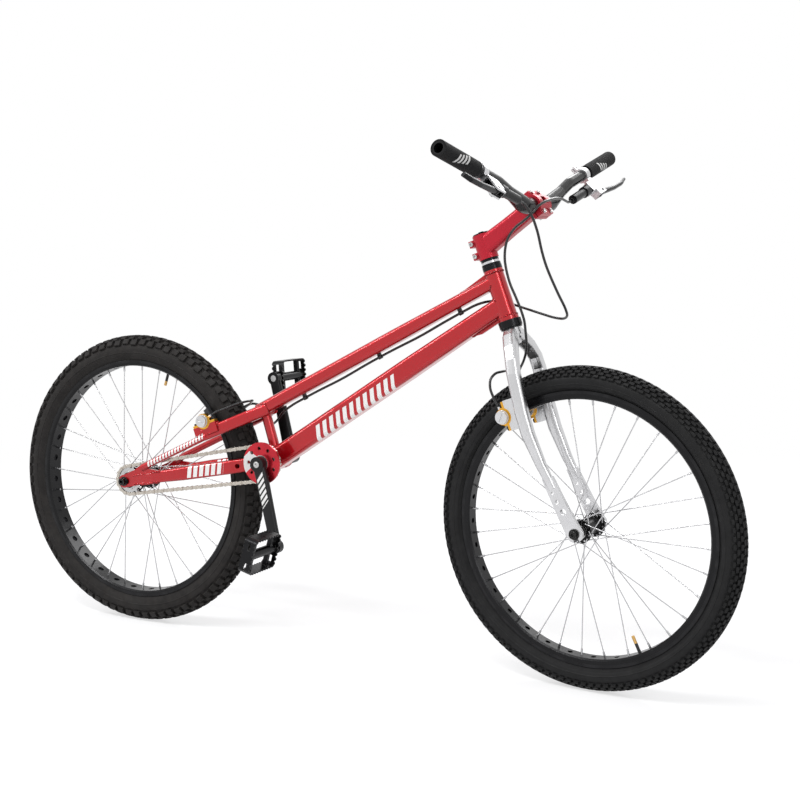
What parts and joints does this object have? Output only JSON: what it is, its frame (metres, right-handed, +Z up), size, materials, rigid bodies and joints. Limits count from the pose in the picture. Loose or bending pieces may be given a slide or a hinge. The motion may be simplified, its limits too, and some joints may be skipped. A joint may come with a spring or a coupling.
{
  "type": "trials bike",
  "caption": "Seatless trials bicycle with a low sloping frame, straight stem, wide handlebar, hydraulic rim brakes, drilled rims, bash ring and cage pedals.",
  "frame": {"origin": "middle of the rear axle", "axes": "+X forward along the bike, +Y to the rider's left along the rear axle, +Z up. The handlebar and front wheel are stored turned 4.8 degrees to the right, as pictured."},
  "size_m": [1.6509, 0.7136, 1.0267],
  "materials": {
    "frame_red": "clear coated metallic red paint",
    "stem_red": "clear coated red paint",
    "fork_silver": "polished",
    "black_alloy": "black anodised",
    "silver_alloy": "clear anodised",
    "gold_alloy": "gold anodised",
    "red_alloy": "red anodised",
    "rim_black": "black anodised with ground brake tracks",
    "steel": "machined",
    "black_steel": "black oxide",
    "chain_steel": "nickel plated",
    "spoke_steel": "drawn",
    "hose": "smooth",
    "black_plastic": "moulded",
    "foam": "closed cell foam",
    "tape_black": "woven tape",
    "butyl": "smooth",
    "tyre": "blocked tread",
    "brake_pad": "moulded compound"
  },
  "bodies": {
    "frame": {"frame": "frame_red", "headset_cups": "black_alloy", "bottom_bracket_cups": "black_alloy", "frame_bearings": "steel", "rear_axle": "steel", "frame_bolts": "black_steel", "chain_inner_links": "chain_steel", "chain_outer_links": "chain_steel", "rear_brake_cylinders": "silver_alloy", "rear_brake_clamps": "gold_alloy", "rear_brake_crossover": "hose", "rear_brake_hose": "hose", "hose_clips": "black_plastic"},
    "steering": {"fork": "fork_silver", "headset_spacers": "black_alloy", "stem": "stem_red", "stem_faceplate": "stem_red", "stem_bolts": "steel", "handlebar": "black_alloy", "grips": "foam", "lever_brackets": "silver_alloy", "master_cylinders": "black_alloy", "control_bolts": "black_steel", "front_brake_cylinders": "silver_alloy", "front_brake_clamps": "gold_alloy", "front_brake_hose": "hose", "front_brake_crossover": "hose", "front_axle": "steel"},
    "front_wheel": {"front_hub": "black_alloy", "front_hub_bearings": "steel", "front_spokes": "spoke_steel", "front_rim": "rim_black", "front_rim_tape": "tape_black", "front_inner_tube": "butyl", "front_tyre": "tyre"},
    "rear_wheel": {"rear_hub": "black_alloy", "rear_hub_bearings": "steel", "rear_spokes": "spoke_steel", "rear_rim": "rim_black", "rear_rim_tape": "tape_black", "rear_inner_tube": "butyl", "rear_tyre": "tyre", "rear_sprocket": "steel"},
    "crankset": {"crank_right": "black_alloy", "crank_left": "black_alloy", "crank_axle": "steel", "freewheel_core": "steel", "bash_ring": "red_alloy", "pedal_axles": "steel"},
    "freewheel": {"freewheel_sprocket": "steel"},
    "pedal_right": {"pedal_right": "black_alloy"},
    "pedal_left": {"pedal_left": "black_alloy"},
    "lever_right": {"lever_blade_right": "black_alloy"},
    "lever_left": {"lever_blade_left": "black_alloy"},
    "master_piston_right": {"master_piston_right": "steel"},
    "master_piston_left": {"master_piston_left": "steel"},
    "rear_pad_right": {"rear_brake_pad_right": "brake_pad"},
    "rear_pad_left": {"rear_brake_pad_left": "brake_pad"},
    "front_pad_right": {"front_brake_pad_right": "brake_pad"},
    "front_pad_left": {"front_brake_pad_left": "brake_pad"}
  },
  "joints": [
    {"name": "steering_turn", "type": "hinge", "parent": "frame", "child": "steering", "pos_m": [0.87133, 0, 0.37379], "axis": [-0.342, 0, 0.9397], "range_deg": [-70, 75], "deforming": ["rear_brake_hose"]},
    {"name": "front_wheel_spin", "type": "hinge", "parent": "steering", "child": "front_wheel", "pos_m": [1.03293, -0.00176, -0.00903], "axis": [0.0786, 0.9965, 0.0286], "continuous": true},
    {"name": "rear_wheel_spin", "type": "hinge", "parent": "frame", "child": "rear_wheel", "pos_m": [0, 0, 0], "axis": [0, 1, 0], "continuous": true, "deforming": ["chain_inner_links", "chain_outer_links"]},
    {"name": "crank_spin", "type": "hinge", "parent": "frame", "child": "crankset", "pos_m": [0.34631, 0, 0.065], "axis": [0, 1, 0], "continuous": true},
    {"name": "freewheel_spin", "type": "hinge", "parent": "frame", "child": "freewheel", "pos_m": [0.34631, 0, 0.065], "axis": [0, 1, 0], "continuous": true, "deforming": ["chain_inner_links", "chain_outer_links"]},
    {"name": "pedal_right_spin", "type": "hinge", "parent": "crankset", "child": "pedal_right", "pos_m": [0.39884, 0, -0.09668], "axis": [0, 1, 0], "continuous": true},
    {"name": "pedal_left_spin", "type": "hinge", "parent": "crankset", "child": "pedal_left", "pos_m": [0.29377, 0, 0.22668], "axis": [0, 1, 0], "continuous": true},
    {"name": "lever_right_pull", "type": "hinge", "parent": "steering", "child": "lever_right", "pos_m": [0.94192, -0.23772, 0.61075], "axis": [-0.7193, -0.0942, -0.6883], "range_deg": [0, 15], "stiffness_Nm_per_rad": 4, "springref_deg": -2.86},
    {"name": "lever_left_pull", "type": "hinge", "parent": "steering", "child": "lever_left", "pos_m": [0.97724, 0.20982, 0.62361], "axis": [0.6925, -0.2448, 0.6786], "range_deg": [0, 15], "stiffness_Nm_per_rad": 4, "springref_deg": -2.86},
    {"name": "master_piston_right_slide", "type": "slide", "parent": "steering", "child": "master_piston_right", "axis": [0.091, 0.9695, -0.2277], "range_m": [0, 0.0046]},
    {"name": "master_piston_left_slide", "type": "slide", "parent": "steering", "child": "master_piston_left", "axis": [-0.061, -0.9572, -0.283], "range_m": [0, 0.0046]},
    {"name": "rear_pad_right_slide", "type": "slide", "parent": "frame", "child": "rear_pad_right", "axis": [0, 1, 0], "range_m": [0, 0.002]},
    {"name": "rear_pad_left_slide", "type": "slide", "parent": "frame", "child": "rear_pad_left", "axis": [0, -1, 0], "range_m": [0, 0.002]},
    {"name": "front_pad_right_slide", "type": "slide", "parent": "steering", "child": "front_pad_right", "axis": [0.0786, 0.9965, 0.0286], "range_m": [0, 0.002]},
    {"name": "front_pad_left_slide", "type": "slide", "parent": "steering", "child": "front_pad_left", "axis": [-0.0786, -0.9965, -0.0286], "range_m": [0, 0.002]}
  ],
  "couplings": [
    {"joint": "freewheel_spin", "follows": "rear_wheel_spin", "ratio": 0.83333},
    {"joint": "master_piston_right_slide", "follows": "lever_right_pull", "m_per_rad": 0.0172},
    {"joint": "rear_pad_right_slide", "follows": "lever_right_pull", "m_per_rad": 0.0076},
    {"joint": "rear_pad_left_slide", "follows": "lever_right_pull", "m_per_rad": 0.0076},
    {"joint": "master_piston_left_slide", "follows": "lever_left_pull", "m_per_rad": 0.0172},
    {"joint": "front_pad_right_slide", "follows": "lever_left_pull", "m_per_rad": 0.0076},
    {"joint": "front_pad_left_slide", "follows": "lever_left_pull", "m_per_rad": 0.0076}
  ]
}
